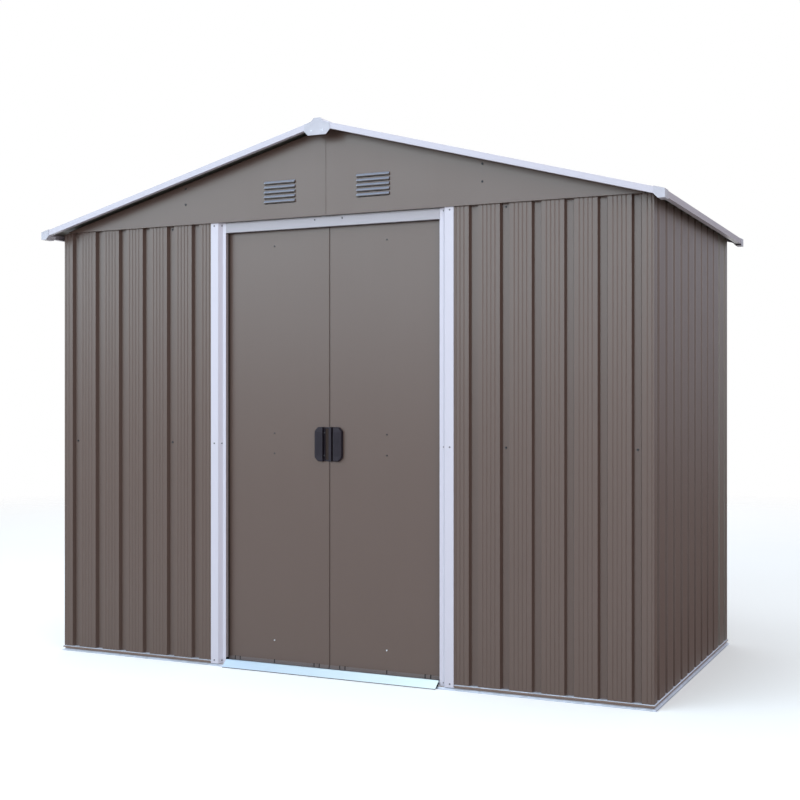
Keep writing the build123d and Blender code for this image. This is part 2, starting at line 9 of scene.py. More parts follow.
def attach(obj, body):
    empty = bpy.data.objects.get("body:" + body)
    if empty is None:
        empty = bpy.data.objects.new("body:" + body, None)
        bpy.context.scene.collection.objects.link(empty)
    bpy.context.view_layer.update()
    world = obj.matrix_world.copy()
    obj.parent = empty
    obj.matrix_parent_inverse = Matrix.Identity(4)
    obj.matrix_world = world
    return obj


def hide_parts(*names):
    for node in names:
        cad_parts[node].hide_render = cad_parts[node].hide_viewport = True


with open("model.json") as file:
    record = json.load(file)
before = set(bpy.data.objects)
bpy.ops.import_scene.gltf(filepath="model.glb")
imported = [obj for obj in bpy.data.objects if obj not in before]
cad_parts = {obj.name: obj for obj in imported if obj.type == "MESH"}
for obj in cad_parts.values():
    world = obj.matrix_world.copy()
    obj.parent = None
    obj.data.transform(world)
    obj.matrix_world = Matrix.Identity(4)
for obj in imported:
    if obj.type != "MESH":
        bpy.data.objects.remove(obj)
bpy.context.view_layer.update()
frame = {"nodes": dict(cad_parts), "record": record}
parts = frame["nodes"]
scene = bpy.context.scene
scene.view_settings.view_transform = "Standard"
world = scene.world or bpy.data.worlds.new("studio")
scene.world = world
print("frame loaded:", len(parts), "parts")


# the camera is level and stands to the right of the middle, as the photograph was taken
cameraSet = {
    "place": (2.143, -4.6043, 0.9856),
    "turn": 24.958,  # degrees round from straight ahead
    "lens": 56.87,
    "sensor": 36.0,
    "shiftUp": 0.00165,
}
cameraData = bpy.data.cameras.new("camera")
cameraData.lens = cameraSet["lens"]
cameraData.sensor_width = cameraSet["sensor"]
cameraData.shift_y = cameraSet["shiftUp"]
camera = bpy.data.objects.new("camera", cameraData)
camera.location = cameraSet["place"]
camera.rotation_euler = (math.radians(90), 0, math.radians(cameraSet["turn"]))
scene.collection.objects.link(camera)
scene.camera = camera
print("camera placed")


def startMaterial(name):
    material = bpy.data.materials.new(name)
    material.use_nodes = True
    tree = material.node_tree
    return material, tree, tree.nodes["Principled BSDF"]


def addNode(tree, kind, inputs=(), **settings):
    node = tree.nodes.new(kind)
    for key, value in settings.items():
        setattr(node, key, value)
    for key, value in dict(inputs).items():
        node.inputs[key].default_value = value
    return node


def addMath(tree, operation, *values):
    node = addNode(tree, "ShaderNodeMath", operation=operation)
    for socket, value in zip(node.inputs, values):
        if hasattr(value, "links"):
            tree.links.new(value, socket)
        else:
            socket.default_value = value
    return node.outputs[0]


def objectSplit(tree, output):
    place = addNode(tree, "ShaderNodeTexCoord")
    split = addNode(tree, "ShaderNodeSeparateXYZ")
    tree.links.new(place.outputs[output], split.inputs["Vector"])
    return split.outputs


def objectNoise(tree, scale, detail=2.0, stretch=(1, 1, 1)):
    place = addNode(tree, "ShaderNodeTexCoord")
    mapping = addNode(tree, "ShaderNodeMapping", {"Scale": stretch})
    noise = addNode(tree, "ShaderNodeTexNoise", {"Scale": scale, "Detail": detail})
    tree.links.new(place.outputs["Object"], mapping.inputs["Vector"])
    tree.links.new(mapping.outputs["Vector"], noise.inputs["Vector"])
    return noise.outputs["Fac"]


def rangeOf(tree, source, low, high, fromLow=0.3, fromHigh=0.7):
    node = addNode(tree, "ShaderNodeMapRange", {
        "From Min": fromLow, "From Max": fromHigh, "To Min": low, "To Max": high})
    tree.links.new(source, node.inputs["Value"])
    return node.outputs["Result"]


def mixTints(tree, amount, first, second):
    node = addNode(tree, "ShaderNodeMix", data_type="RGBA")
    tree.links.new(amount, node.inputs["Factor"])
    for socket, tint in ((node.inputs[6], first), (node.inputs[7], second)):
        if hasattr(tint, "links"):
            tree.links.new(tint, socket)
        else:
            socket.default_value = (*tint, 1)
    return node.outputs[2]


def addBump(tree, shader, height, strength, distance):
    bump = addNode(tree, "ShaderNodeBump", {"Strength": strength, "Distance": distance})
    tree.links.new(height, bump.inputs["Height"])
    tree.links.new(bump.outputs["Normal"], shader.inputs["Normal"])
    return bump


def shade(tint, factor):
    return tuple(min(1.0, channel * factor) for channel in tint)


# a tint that wanders a little darker and lighter
def spreadTint(tree, source, tint, spread):
    return mixTints(tree, source, shade(tint, 1 - spread), shade(tint, 1 + spread))


# a roughness that wanders by the look's own spread
def spreadRough(tree, source, look, *span):
    smooth, coarse = look["rough"] - look["roughSpread"], look["rough"] + look["roughSpread"]
    return rangeOf(tree, source, smooth, coarse, *span)


wideNoise = (0.15, 0.85)  # nearly the whole spread of a noise


# coil-coated sheet: satin colour outside, a thinner grey-brown backing coat inside; on the door jambs the
# same inward tint is a painted shade on the returns that face into the doorway
def paintedSteel(name, look):
    material, tree, shader = startMaterial(name)
    shader.inputs["Specular IOR Level"].default_value = look["gloss"]
    place = objectSplit(tree, "Object")
    facing = objectSplit(tree, "Normal")
    cloud = rangeOf(tree, objectNoise(tree, look["cloudScale"]), 0, 1, *wideNoise)
    tint = spreadTint(tree, cloud, look["tint"], look["cloud"])
    streaks = objectNoise(tree, look["streakScale"], stretch=look["streakStretch"])
    streak = rangeOf(tree, streaks, 0, look["streak"])
    tint = mixTints(tree, streak, tint, shade(look["tint"], look["streakShade"]))
    foot = rangeOf(tree, place["Z"], look["dust"], 0, 0.0, look["dustHeight"])
    tint = mixTints(tree, foot, tint, look["dustTint"])
    # inward faces take the backing tint, which on the jamb returns is a painted shade
    if look["backingAndShade"]:
        inward = addMath(tree, "MULTIPLY", place[look["inwardAxis"]], facing[look["inwardAxis"]])
        inside = addMath(tree, "LESS_THAN", inward, look["inwardFrom"])
        tint = mixTints(tree, inside, tint, look["backingAndShade"])
    tree.links.new(tint, shader.inputs["Base Color"])
    rough = spreadRough(tree, objectNoise(tree, look["roughScale"], 3.0), look, *wideNoise)
    sideways = rangeOf(tree, addMath(tree, "ABSOLUTE", facing["X"]), 0, look["sideRough"], *look["sideTurn"])
    tree.links.new(addMath(tree, "ADD", rough, sideways), shader.inputs["Roughness"])
    addBump(tree, shader, objectNoise(tree, look["peelScale"]), look["peel"], look["peelDepth"])
    return material


# rolled zinc-coated steel with a faint spangle; a darker band between two heights can run round it as painted
# shade, and a lighter tint towards its right end as a painted reflection
def zincSteel(name, look):
    material, tree, shader = startMaterial(name)
    shader.inputs["Metallic"].default_value = look["metal"]
    place = addNode(tree, "ShaderNodeTexCoord")
    spangle = addNode(tree, "ShaderNodeTexVoronoi", {"Scale": look["spangleScale"]})
    tree.links.new(place.outputs["Object"], spangle.inputs["Vector"])
    grey = addNode(tree, "ShaderNodeSeparateColor")
    tree.links.new(spangle.outputs["Color"], grey.inputs["Color"])
    flake = grey.outputs["Red"]
    tint = spreadTint(tree, flake, look["tint"], look["spangle"])
    # painted reflection: the tint turns lighter towards the right end
    if look["farHighlightTint"]:
        along = rangeOf(tree, objectSplit(tree, "Object")["X"], 0, 1, -look["farHighlightReach"], look["farHighlightReach"])
        tint = mixTints(tree, along, tint, look["farHighlightTint"])
    stains = objectNoise(tree, look["stainScale"], 5.0, look["stainStretch"])
    tint = mixTints(tree, rangeOf(tree, stains, 0, look["stain"]), tint, look["stainTint"])
    # painted shade: a darker band between two heights
    if look["shadeBand"]:
        height = objectSplit(tree, "Object")["Z"]
        middle = sum(look["shadeBand"]) / 2
        inShadeBand = addMath(tree, "COMPARE", height, middle, look["shadeBand"][1] - middle)
        tint = mixTints(tree, inShadeBand, tint, look["shadeBandTint"])
    tree.links.new(tint, shader.inputs["Base Color"])
    tree.links.new(spreadRough(tree, flake, look, 0, 1), shader.inputs["Roughness"])
    addBump(tree, shader, objectNoise(tree, look["bumpScale"], 3.0), look["bump"], look["bumpDepth"])
    return material


def mouldedPlastic(name, look):
    material, tree, shader = startMaterial(name)
    shader.inputs["Specular IOR Level"].default_value = look["gloss"]
    cloud = rangeOf(tree, objectNoise(tree, look["cloudScale"], 3.0), 0, 1)
    tint = spreadTint(tree, cloud, look["tint"], look["cloud"])
    tree.links.new(tint, shader.inputs["Base Color"])
    patches = objectNoise(tree, look["roughScale"], 3.0)
    tree.links.new(spreadRough(tree, patches, look), shader.inputs["Roughness"])
    addBump(tree, shader, objectNoise(tree, look["grainScale"], 3.0), look["grain"], look["grainDepth"])
    return material


taupe = (0.101, 0.064, 0.053)
offWhite = (0.62, 0.58, 0.66)
wallLook = {
    "tint": taupe,
    "gloss": 0.45,
    "rough": 0.34,
    "roughSpread": 0.02,
    "roughScale": 6.0,
    "sideRough": 0.08,  # added to the roughness of faces that look along the front wall
    "sideTurn": (0.8, 0.95),
    "cloud": 0.02,
    "cloudScale": 1.7,
    "streak": 0.05,
    "streakScale": 34.0,
    "streakStretch": (1, 1, 0.05),
    "streakShade": 0.6,
    "dust": 0.10,
    "dustHeight": 0.4,
    "dustTint": (0.13, 0.10, 0.08),
    "peel": 0.10,
    "peelScale": 240.0,
    "peelDepth": 0.0005,
    # the backing coat is set lighter than the paint; under the roof it partly stands in as painted bounce
    # light under the eaves
    "backingAndShade": (0.20, 0.185, 0.165),
    "inwardAxis": "Y",
    "inwardFrom": -0.05,  # faces whose place times direction is below this look inward
}
sideLook = dict(wallLook, gloss=0.5, inwardAxis="X")
doorLook = dict(wallLook, cloudScale=1.2, streak=0.03)
roofLook = dict(wallLook, streak=0.08, dust=0.0, inwardAxis="Z")
# the louvre skins' lighter, bluer tint is a painted highlight of the sky on the pressed hoods
louvreHighlightLook = dict(wallLook, tint=(0.24, 0.25, 0.31), dust=0.0, backingAndShade=None)
sweepLook = dict(wallLook, tint=(0.130, 0.100, 0.094), dust=0.0, backingAndShade=None)
trimLook = dict(wallLook, tint=offWhite, gloss=0.25, cloud=0.012, streak=0.015, dust=0.05, dustHeight=0.25,
                dustTint=(0.45, 0.43, 0.42), sideRough=0.35, backingAndShade=None)
# the header is a darker copy of the trim paint, a painted shade under the gable's overhang
headerShadeLook = dict(trimLook, tint=(0.40, 0.37, 0.41))
# the jamb returns that face into the doorway take a darker mauve painted shade through the inward tint
jambLook = dict(trimLook, tint=shade(offWhite, 0.97), backingAndShade=(0.37, 0.32, 0.33), inwardAxis="X",
                inwardFrom=-0.4)
# the rake and eave trims take a darker copy of the trim paint as painted shade
edgeShadeLook = dict(trimLook, tint=shade(offWhite, 0.88))
zincLook = {
    "tint": (0.56, 0.60, 0.68),
    "metal": 0.85,
    "rough": 0.42,
    "roughSpread": 0.05,
    "spangle": 0.10,
    "spangleScale": 55.0,
    "stain": 0.25,
    "stainTint": (0.34, 0.33, 0.33),
    "stainScale": 5.0,
    "stainStretch": (1, 1, 1),
    "shadeBand": None,  # heights between which the painted shade band shows
    "shadeBandTint": None,
    "farHighlightTint": None,  # painted reflection: the lighter tint at the right end
    "farHighlightReach": 0.43,
    "bump": 0.15,
    "bumpScale": 90.0,
    "bumpDepth": 0.0004,
}
# a brown painted shade across the rail's undercut
railLook = dict(zincLook, tint=(0.66, 0.72, 0.84), metal=0.6, shadeBand=(0.0065, 0.0165),
                shadeBandTint=(0.19, 0.135, 0.115))
trackLook = dict(zincLook, tint=(0.16, 0.16, 0.18), metal=0.5, rough=0.5)
# the ramp's lighter tint to the right is a painted reflection, and its dark band at the toe a painted shade
rampLook = dict(zincLook, tint=(0.66, 0.82, 1.0), farHighlightTint=(0.86, 1.0, 1.0), metal=0.45, rough=0.34,
                roughSpread=0.02, spangle=0.0, stain=0.10, stainTint=(0.56, 0.66, 0.80),
                stainStretch=(0.25, 3, 3), shadeBand=(-0.001, 0.0028), shadeBandTint=(0.10, 0.10, 0.12), bump=0.03)
beamLook = dict(zincLook, tint=(0.50, 0.52, 0.55), metal=0.9, rough=0.40, spangle=0.14, spangleScale=48.0,
                stain=0.15, stainTint=(0.36, 0.35, 0.34))
darkScrewLook = dict(zincLook, tint=(0.045, 0.045, 0.05), metal=0.6, rough=0.5, spangle=0.03,
                     spangleScale=900.0, stain=0.1, stainTint=(0.03, 0.03, 0.03))
trimScrewLook = dict(darkScrewLook, tint=(0.12, 0.12, 0.13), stainTint=(0.08, 0.08, 0.08))
brightScrewLook = dict(darkScrewLook, tint=(0.62, 0.64, 0.68), metal=0.9, rough=0.30, spangle=0.04,
                       stainTint=(0.4, 0.4, 0.4))
plasticLook = {
    "tint": (0.47, 0.45, 0.51),
    "cloud": 0.08,
    "cloudScale": 20.0,
    "gloss": 0.4,
    "rough": 0.42,
    "roughSpread": 0.05,
    "roughScale": 45.0,
    "grain": 0.12,
    "grainScale": 500.0,
    "grainDepth": 0.0003,
}
handleLook = dict(plasticLook, tint=(0.017, 0.0125, 0.019), gloss=0.18, rough=0.48, grain=0.2,
                  grainScale=900.0)
# dim brown, a painted shade of the door face inside the pulls' wells
wellShadeLook = dict(plasticLook, tint=(0.036, 0.022, 0.018), gloss=0.15, rough=0.6, grain=0.1, grainScale=600.0)
# near-black, a painted shade put into the doorway's gaps and the sweep's slots
gapShadeLook = dict(wellShadeLook, tint=(0.010, 0.010, 0.011), rough=0.7)
runnerLook = dict(plasticLook, tint=(0.03, 0.03, 0.032), rough=0.5, grain=0.15, grainScale=600.0)
finishes = {
    "wallPaint": paintedSteel("wallPaint", wallLook),
    "sidePaint": paintedSteel("sidePaint", sideLook),
    "doorPaint": paintedSteel("doorPaint", doorLook),
    "roofPaint": paintedSteel("roofPaint", roofLook),
    "trimPaint": paintedSteel("trimPaint", trimLook),
    "headerShadePaint": paintedSteel("headerShadePaint", headerShadeLook),
    "jambPaint": paintedSteel("jambPaint", jambLook),
    "edgeShadePaint": paintedSteel("edgeShadePaint", edgeShadeLook),
    "sweepPaint": paintedSteel("sweepPaint", sweepLook),
    "louvreHighlightPaint": paintedSteel("louvreHighlightPaint", louvreHighlightLook),
    "trimPlastic": mouldedPlastic("trimPlastic", plasticLook),
    "railZinc": zincSteel("railZinc", railLook),
    "trackZinc": zincSteel("trackZinc", trackLook),
    "rampZinc": zincSteel("rampZinc", rampLook),
    "beamZinc": zincSteel("beamZinc", beamLook),
    "handlePlastic": mouldedPlastic("handlePlastic", handleLook),
    "handleWellShade": mouldedPlastic("handleWellShade", wellShadeLook),
    "gapShadeBlack": mouldedPlastic("gapShadeBlack", gapShadeLook),
    "runnerPlastic": mouldedPlastic("runnerPlastic", runnerLook),
    "darkScrew": zincSteel("darkScrew", darkScrewLook),
    "trimScrew": zincSteel("trimScrew", trimScrewLook),
    "brightScrew": zincSteel("brightScrew", brightScrewLook),
}
slotFinish = {
    "taupe_sheet": "wallPaint",
    "white_trim": "trimPaint",
    "white_plastic": "trimPlastic",
    "black_plastic": "runnerPlastic",
    "galvanised_steel": "beamZinc",
}
partFinish = {
    "door_leaf_": "doorPaint",
    "side_panel_": "sidePaint",
    "roof_panel_": "roofPaint",
    "door_header": "headerShadePaint",
    "door_jamb_": "jambPaint",
    "rake_trim_": "edgeShadePaint",
    "eave_trims": "edgeShadePaint",
    "floor_rail_": "railZinc",
    "floor_track": "trackZinc",
    "door_ramp": "rampZinc",
}
for row in frame["record"]["subparts"]:
    finish = slotFinish[row["material_slot"]]
    for start, special in partFinish.items():
        if row["node"].startswith(start):
            finish = special
    for slot in parts[row["node"]].material_slots:
        slot.material = finishes[finish]
print("materials made:", len(finishes))


def finishPiece(bm, name, body, finish):
    bmesh.ops.recalc_face_normals(bm, faces=bm.faces)
    mesh = bpy.data.meshes.new(name)
    bm.to_mesh(mesh)
    bm.free()
    mesh.materials.append(finishes[finish])
    piece = bpy.data.objects.new(name, mesh)
    scene.collection.objects.link(piece)
    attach(piece, body)
    return piece


def softenEdges(bm, edges, width, segments):
    bmesh.ops.bevel(bm, geom=edges, offset=width, offset_type="OFFSET", segments=segments, profile=0.5,
                    affect="EDGES", material=-1, clamp_overlap=False)


# a bar between two corners, with its edges softened
def addBar(bm, low, high, width, segments=1):
    low, high = Vector(low), Vector(high)
    stand = Matrix.Translation((low + high) / 2) @ Matrix.Diagonal((*(high - low), 1))
    bar = bmesh.ops.create_cube(bm, size=1, matrix=stand)
    edges = list({edge for vert in bar["verts"] for edge in vert.link_edges})
    softenEdges(bm, edges, width, segments)


# a prism that starts as a flat ring of points and runs along x
def addPrism(bm, points, length):
    ring = [bm.verts.new(point) for point in points]
    grown = bmesh.ops.extrude_face_region(bm, geom=[bm.faces.new(ring)])["geom"]
    bmesh.ops.translate(bm, verts=[part for part in grown if isinstance(part, bmesh.types.BMVert)],
                        vec=(length, 0, 0))


sideNames = {-1: "Left", 1: "Right"}


# door pulls: x runs from the meeting line along the door, -y stands proud of it
handle = {
    "seam": -0.009,
    "doorFace": -0.58225,
    "middle": 0.831,
    "height": 0.124,
    "reach": 0.055,
    "lip": 0.0216,  # where the grip opens towards the meeting line
    "proud": 0.015,
    "wall": 0.0025,
    "corner": 0.014,
    "cornerRound": 0.004,
    "edgeRound": 0.0045,
    "roomEnd": 0.014,
    "roomDepth": 0.0279,
    "rimFrom": {"Left": 0.0010, "Right": 0.0019},
    "rimTo": {"Left": 0.0028, "Right": 0.0129},
    "rimProud": {"Left": 0.0025, "Right": 0.012},
    "rimRound": 0.0011,
    "ledge": 0.0158,
    "bridge": 0.006,
    "wallRound": 0.0005,
    "overlap": 0.001,  # how far one bar runs into the next
    "ledgeInset": 0.001,
    "bridgeInset": 0.0006,
    "ribs": 7,
    "ribFrom": 0.0245,
    "ribPitch": 0.0037,
    "ribWidth": 0.0018,
    "ribProud": 0.0006,
    "ribHalf": 0.044,
    "ribRound": 0.0004,
    "fins": 9,
    "finPitch": 0.0105,
    "finHalf": 0.0007,
    "finProud": 0.0042,
    "finReach": 0.012,
    "finSink": 0.0005,
    "finRound": 0.0002,
    "wellShadeProud": 0.0006,
    "wellShadeSink": 0.0002,
    "wellShadeInset": 0.002,
    "wellShadeOverlap": 0.0005,
    "screwAcross": 0.0192,
    "screwUp": 0.0415,
}


def handleGrip(bm, look):
    stand = Matrix.Translation(((look["lip"] + look["reach"]) / 2, -look["proud"] / 2, 0)) @ Matrix.Diagonal(
        (look["reach"] - look["lip"], look["proud"], look["height"], 1))
    bmesh.ops.create_cube(bm, size=1, matrix=stand)
    pastLip = look["lip"] + look["overlap"]

    def across(edge):  # edges that run through the grip's thickness at its far side
        first, second = (vert.co for vert in edge.verts)
        return abs(first.y - second.y) > look["proud"] * 0.9 and min(first.x, second.x) > pastLip

    softenEdges(bm, [edge for edge in bm.edges if across(edge)], look["corner"], 1)
    softenEdges(bm, [edge for edge in bm.edges if across(edge)], look["cornerRound"], 3)
    justBehind = -look["proud"] + 0.0001
    front = [edge for edge in bm.edges if all(vert.co.y < justBehind for vert in edge.verts)
             and max(vert.co.x for vert in edge.verts) > pastLip]
    softenEdges(bm, front, look["edgeRound"], 4)
    mouth = min(bm.faces, key=lambda side: side.calc_center_median().x)
    bmesh.ops.inset_individual(bm, faces=[mouth], thickness=look["wall"])
    inner = look["height"] / 2 - look["roomEnd"]
    bmesh.ops.scale(bm, verts=mouth.verts, vec=(1, 1, inner / (look["height"] / 2 - look["wall"])))
    room = bmesh.ops.extrude_discrete_faces(bm, faces=[mouth])["faces"][0]
    bmesh.ops.translate(bm, verts=room.verts, vec=(look["roomDepth"], 0, 0))


# the rim at the meeting line, the ledge inside it and the bridges that join the two at either end
def handleFrame(bm, sideName, look):
    top = look["height"] / 2
    ledgeTop = top - look["ledgeInset"]
    rimTo = look["rimTo"][sideName]
    addBar(bm, (look["rimFrom"][sideName], -look["rimProud"][sideName], -top), (rimTo, 0, top),
           look["rimRound"], 3)
    addBar(bm, (look["ledge"], -look["wall"], -ledgeTop), (look["lip"] + look["overlap"], 0, ledgeTop),
           look["wallRound"], 2)
    for end in (-1, 1):
        low, high = sorted((end * (top - look["bridgeInset"]), end * (top - look["bridge"])))
        addBar(bm, (rimTo - look["overlap"], -look["wall"], low), (look["ledge"] + look["overlap"], 0, high),
               look["wallRound"], 2)


# fine ribs on the grip's face and fins in the room behind its mouth
def handleRelief(bm, look):
    for number in range(look["ribs"]):
        start = look["ribFrom"] + number * look["ribPitch"]
        addBar(bm, (start, -look["proud"] - look["ribProud"], -look["ribHalf"]),
               (start + look["ribWidth"], -look["proud"] + look["overlap"], look["ribHalf"]),
               look["ribRound"], 2)
    for number in range(look["fins"]):
        height = (number - (look["fins"] - 1) / 2) * look["finPitch"]
        addBar(bm, (look["ledge"] + look["overlap"], -look["finProud"], height - look["finHalf"]),
               (look["lip"] + look["finReach"], -look["wall"] + look["finSink"], height + look["finHalf"]),
               look["finRound"])


def makeHandle(side, body, look):
    sideName = sideNames[side]
    place = Matrix.Translation((look["seam"], look["doorFace"], look["middle"]))
    stand = place @ Matrix.Diagonal((side, 1, 1, 1))
    bm = bmesh.new()
    handleGrip(bm, look)
    handleFrame(bm, sideName, look)
    handleRelief(bm, look)
    bmesh.ops.transform(bm, matrix=stand, verts=bm.verts)
    piece = finishPiece(bm, "doorHandle" + sideName, body, "handlePlastic")
    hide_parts("door_handle_" + sideName.lower())
    # a dim brown plate in each pull's open well, a painted shade of the door face there
    wellShadeTop = look["height"] / 2 - look["wellShadeInset"]
    bm = bmesh.new()
    addBar(bm, (look["rimTo"][sideName] - look["wellShadeOverlap"], -look["wellShadeProud"], -wellShadeTop),
           (look["ledge"] + look["overlap"], look["wellShadeSink"], wellShadeTop), look["finRound"])
    bmesh.ops.transform(bm, matrix=stand, verts=bm.verts)
    finishPiece(bm, "handleWellShade" + sideName, body, "handleWellShade")


makeHandle(-1, "left_door", handle)
makeHandle(1, "right_door", handle)
print("door pulls made")


# the left leaf's folded edge, and a strip with slots along the foot of each leaf, the slots filled with
# near-black blocks as painted shade of the gaps
doorEdge = {
    "seam": -0.009,
    "face": -0.58225,
    "foot": 0.027,
    "top": 1.636,
    "gap": 0.0025,  # from the meeting line to either leaf
    "lipOver": -0.0002,  # how far the left leaf's folded edge stands past the meeting line
    "lipDepth": 0.009,
    "lipSink": 0.0001,
    "lipRound": 0.0006,
    "stripFoot": 0.0216,
    "stripTop": 0.0345,
    "stripProud": 0.0014,
    "stripBack": 0.0008,
    "stripRound": 0.00035,
    "leafWidth": 0.4375,
    "tongues": (0.0525, 0.3875),
    "tongueHalf": 0.0127,
    "middleSlot": 0.229,
    "slot": 0.0040,
    "slotTop": 0.0365,
    "slotBack": 0.0007,
    "slotInset": 0.0003,
    "slotRound": 0.0004,
}
bm = bmesh.new()
addBar(bm, (doorEdge["seam"] - doorEdge["gap"] - doorEdge["lipSink"], doorEdge["face"] + doorEdge["lipSink"],
            doorEdge["foot"]),
       (doorEdge["seam"] + doorEdge["lipOver"], doorEdge["face"] + doorEdge["lipDepth"], doorEdge["top"]),
       doorEdge["lipRound"], 2)
finishPiece(bm, "doorEdgeFold", "left_door", "doorPaint")


def makeStrip(side, body, look):
    half = look["slot"] / 2
    slots = [look["middleSlot"]]
    for tongue in look["tongues"]:
        slots += [tongue - look["tongueHalf"] + half, tongue + look["tongueHalf"] - half]
    stops = [look["gap"]]
    for slot in sorted(slots):
        stops += [slot - half, slot + half]
    stops.append(look["leafWidth"])
    bm = bmesh.new()
    for start, end in zip(stops[::2], stops[1::2]):
        ends = sorted((look["seam"] + side * start, look["seam"] + side * end))
        addBar(bm, (ends[0], look["face"] - look["stripProud"], look["stripFoot"]),
               (ends[1], look["face"] + look["stripBack"], look["stripTop"]), look["stripRound"], 2)
    finishPiece(bm, "doorSweep" + sideNames[side], body, "sweepPaint")
    # near-black blocks fill the slots as painted shade
    slotFace = look["face"] - look["stripProud"] + look["slotInset"]
    bm = bmesh.new()
    for slot in slots:
        middle = look["seam"] + side * slot
        addBar(bm, (middle - half, slotFace, look["stripFoot"] + look["slotInset"]),
               (middle + half, look["face"] + look["slotBack"], look["slotTop"]), look["slotRound"])
    finishPiece(bm, "sweepSlotShade" + sideNames[side], body, "gapShadeBlack")


makeStrip(-1, "left_door", doorEdge)
makeStrip(1, "right_door", doorEdge)
print("door edges made")


# black strips on the doorway's returns and under its header, a painted shade of the gaps between the jambs,
# the header and the doors
doorwayShade = {
    "near": 0.4314,
    "far": 0.4346,
    "face": -0.5908,
    "back": -0.5868,
    "foot": 0.0315,
    "top": 1.6165,
    "headFoot": 1.6120,
    "headTop": 1.6180,
    "round": 0.0008,
}
bm = bmesh.new()
for side in (-1, 1):
    ends = sorted((side * doorwayShade["near"], side * doorwayShade["far"]))
    addBar(bm, (ends[0], doorwayShade["face"], doorwayShade["foot"]), (ends[1], doorwayShade["back"], doorwayShade["top"]), doorwayShade["round"], 2)
addBar(bm, (-doorwayShade["near"], doorwayShade["face"], doorwayShade["headFoot"]), (doorwayShade["near"], doorwayShade["back"], doorwayShade["headTop"]),
       doorwayShade["round"], 2)
finishPiece(bm, "doorwayShadeStrips", "shed", "gapShadeBlack")

# black blocks at the foot of each jamb and at each end of the ramp, a painted shade of the dark gaps there
shadeBlock = {
    "near": 0.4333,
    "far": 0.4370,
    "face": -0.6060,
    "back": -0.5862,
    "foot": 0.0212,
    "top": 0.0312,
    "round": 0.0006,
    "rampEnd": 0.4285,
    "rampThick": 0.002,
    "rampSide": ((-0.6383, 0.0004), (-0.6383, 0.0017), (-0.6092, 0.0243), (-0.6092, 0.0004)),
}
bm = bmesh.new()
for side in (-1, 1):
    ends = sorted((side * shadeBlock["near"], side * shadeBlock["far"]))
    addBar(bm, (ends[0], shadeBlock["face"], shadeBlock["foot"]), (ends[1], shadeBlock["back"], shadeBlock["top"]), shadeBlock["round"], 2)
    addPrism(bm, [(side * shadeBlock["rampEnd"], along, up) for along, up in shadeBlock["rampSide"]],
             -side * shadeBlock["rampThick"])
finishPiece(bm, "doorwayShadeBlocks", "shed", "gapShadeBlack")


# skins over the pressed louvres in a lighter, bluer paint, a painted highlight of the sky on the hoods; the
# profile's pairs are how far out and how far up each point is
louvre = {
    "near": 0.1246,
    "far": 0.2526,
    "plane": 0.62825,
    "first": 1.7104,
    "pitch": 0.0173,
    "count": 5,
    "profile": ((0.0018, 0.0061), (0.0062, 0.0015), (0.0068, 0.0008), (0.0068, -0.0011), (0.0059, -0.0011),
                (0.0059, 0.0009), (0.0, 0.0070)),
}
bm = bmesh.new()
for front in (-1, 1):
    for side in (-1, 1):
        for number in range(louvre["count"]):
            foot = louvre["first"] + number * louvre["pitch"]
            addPrism(bm, [(side * louvre["near"], front * (louvre["plane"] + out), foot + up)
                          for out, up in louvre["profile"]], side * (louvre["far"] - louvre["near"]))
finishPiece(bm, "louvreHighlightSkins", "shed", "louvreHighlightPaint")
print("seals and louvres made")


# the raw edge where one gable sheet laps the other
gableJoint = {
    "across": -0.0012,
    "width": 0.0024,
    "face": 0.62825,
    "proud": 0.0011,
    "foot": 1.652,
    "top": 1.918,
    "round": 0.0005,
}
bm = bmesh.new()
for side in (-1, 1):
    faces = sorted((side * gableJoint["face"], side * (gableJoint["face"] + gableJoint["proud"])))
    addBar(bm, (gableJoint["across"], faces[0], gableJoint["foot"]),
           (gableJoint["across"] + gableJoint["width"], faces[1], gableJoint["top"]), gableJoint["round"], 2)
finishPiece(bm, "gableJoints", "shed", "wallPaint")


# lengths in metres, the rest as parts of the head's radius or height
screwSize = {
    "head": 0.0032,
    "headTaper": 0.82,
    "height": 0.0020,
    "washer": 0.0041,
    "washerTaper": 0.92,
    "washerThick": 0.0007,
    "sides": 12,
    "rim": 0.22,
    "recess": 0.42,
    "recessDepth": 0.45,
}
smallScrew = dict(screwSize, head=0.0026, height=0.0016, washer=0.0030, washerThick=0.0004)


def addDisc(bm, stand, base, radius, taper, thick, sides):
    return bmesh.ops.create_cone(
        bm, cap_ends=True, segments=sides, radius1=radius, radius2=radius * taper, depth=thick,
        matrix=stand @ Matrix.Translation((0, 0, base + thick / 2)))


def addScrew(bm, spot, outward, size):
    stand = Matrix.Translation(spot) @ outward.to_track_quat("Z", "Y").to_matrix().to_4x4()
    addDisc(bm, stand, 0, size["washer"], size["washerTaper"], size["washerThick"], size["sides"])
    head = addDisc(bm, stand, size["washerThick"], size["head"], size["headTaper"], size["height"],
                   size["sides"])
    faces = {face for vert in head["verts"] for face in vert.link_faces}
    top = max(faces, key=lambda face: face.calc_center_median().dot(outward))
    bmesh.ops.inset_individual(bm, faces=[top], thickness=size["head"] * size["rim"])
    centre = top.calc_center_median()
    for number, vert in enumerate(top.verts):  # every third corner stays out, which makes a cross
        pull = 1.0 if number % 3 == 0 else size["recess"]
        vert.co = centre + (vert.co - centre) * pull - outward * size["height"] * size["recessDepth"]


# the first sheet met from outside is what a screw sits on
def findSheet(spot, outward):
    start = spot + outward * 0.045
    hits = []
    for part in parts.values():
        if part.hide_viewport:
            continue
        found, point, normal, _ = part.ray_cast(start, -outward, distance=0.09)
        if found:
            hits.append(((point - start).length, point, normal))
    return min(hits, key=lambda hit: hit[0]) if hits else None


